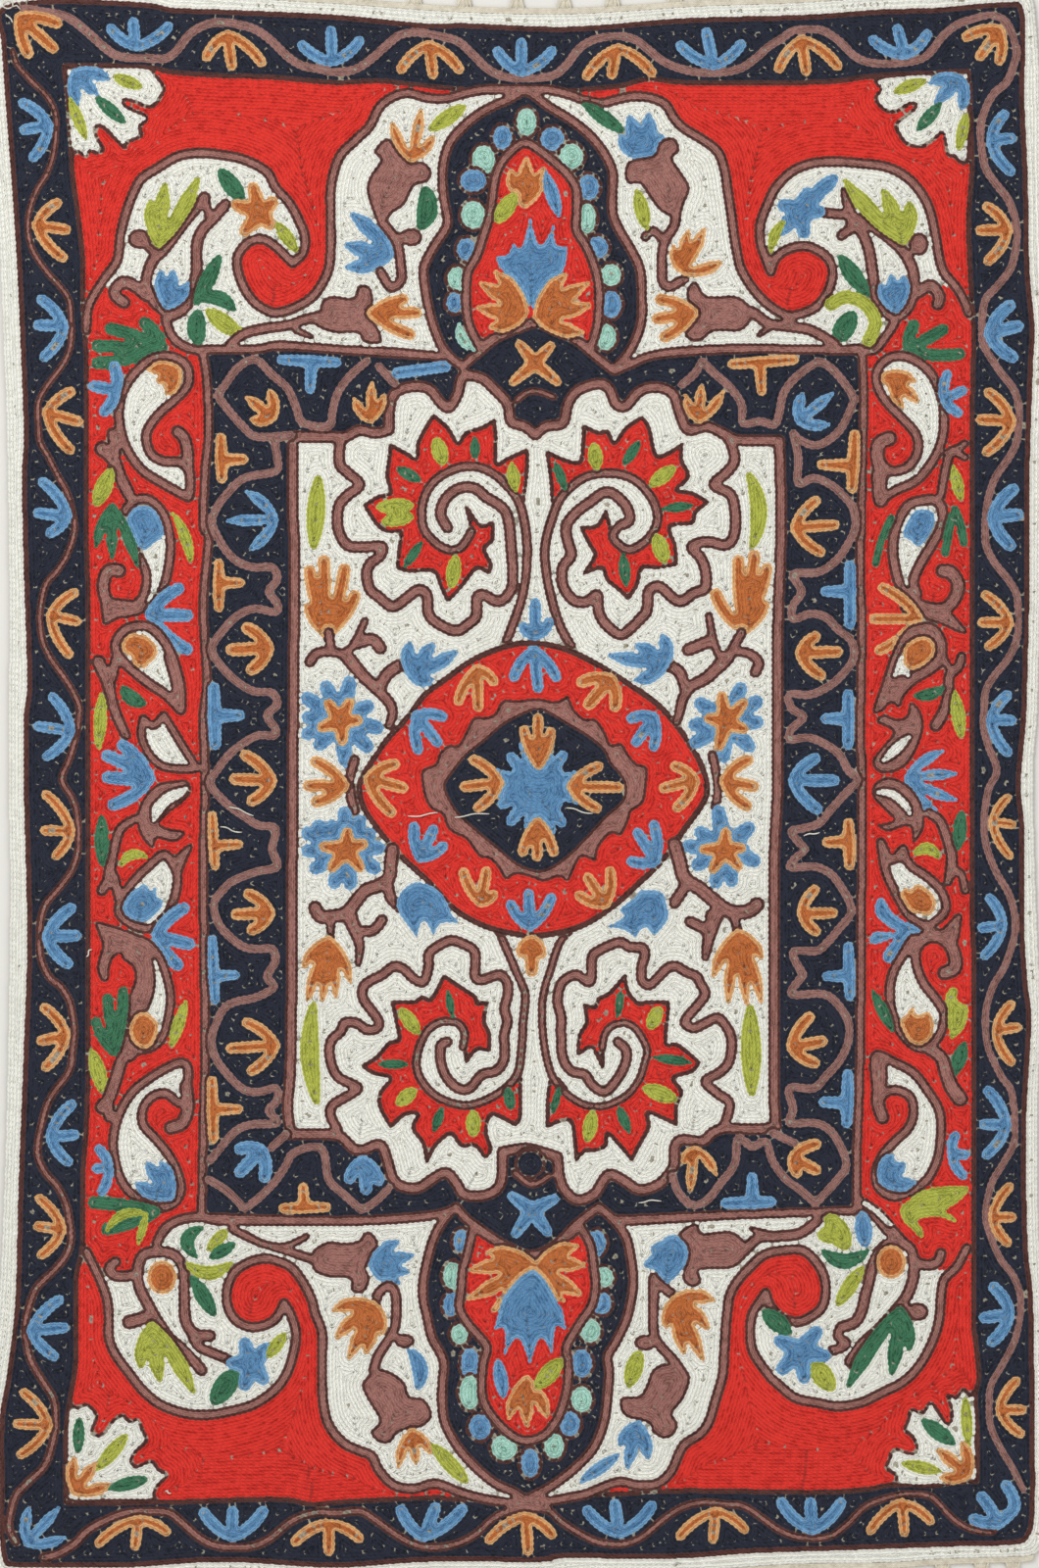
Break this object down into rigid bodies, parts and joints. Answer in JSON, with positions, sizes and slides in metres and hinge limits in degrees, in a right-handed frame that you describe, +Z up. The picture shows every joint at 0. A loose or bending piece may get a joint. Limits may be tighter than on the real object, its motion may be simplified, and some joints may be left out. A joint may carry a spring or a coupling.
{
  "type": "chain stitch rug",
  "caption": "Flat wool chain stitch rug with a floral medallion pattern, a vine border, cream edging and a tasselled cotton fringe at both ends.",
  "frame": {"origin": "middle of the rug's footprint on its underside", "axes": "+Z up out of the stitched face, +Y along the rug towards the end with the rust cross motif, +X across it"},
  "size_m": [0.6174, 1.006, 0.004],
  "materials": {
    "stitched_wool": "matte wool chain stitch",
    "fringe_cotton": "matte twisted cotton"
  },
  "bodies": {
    "root": {"stitched_panel": "stitched_wool", "fringe_top": "fringe_cotton", "fringe_bottom": "fringe_cotton"}
  },
  "joints": []
}
